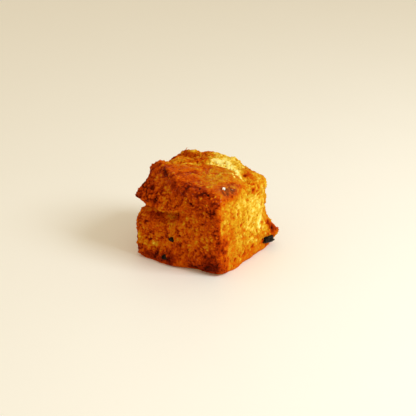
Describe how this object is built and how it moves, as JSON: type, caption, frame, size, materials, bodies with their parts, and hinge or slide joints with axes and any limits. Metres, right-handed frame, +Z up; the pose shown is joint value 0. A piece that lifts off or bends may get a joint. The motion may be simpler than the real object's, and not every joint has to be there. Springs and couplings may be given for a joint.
{
  "type": "scone",
  "caption": "Square-cut baked scone with a split side, a torn crack across its glossy top crust and currants at its sides.",
  "frame": {"origin": "middle of the base, on the surface the scone stands on", "axes": "+Z up; the browned front face with the end of the split looks along -Y and the rough golden face along +X"},
  "size_m": [0.0595, 0.0614, 0.0515],
  "materials": {
    "crust": "baked dough: browned, mottled sides, golden torn crumb and an egg-washed glossy top crust",
    "currant": "dark wrinkled dried fruit, slightly shiny on its ridges"
  },
  "bodies": {
    "root": {"scone": "crust", "currant_right": "currant", "currant_front_upper": "currant", "currant_front_lower": "currant"}
  },
  "joints": []
}
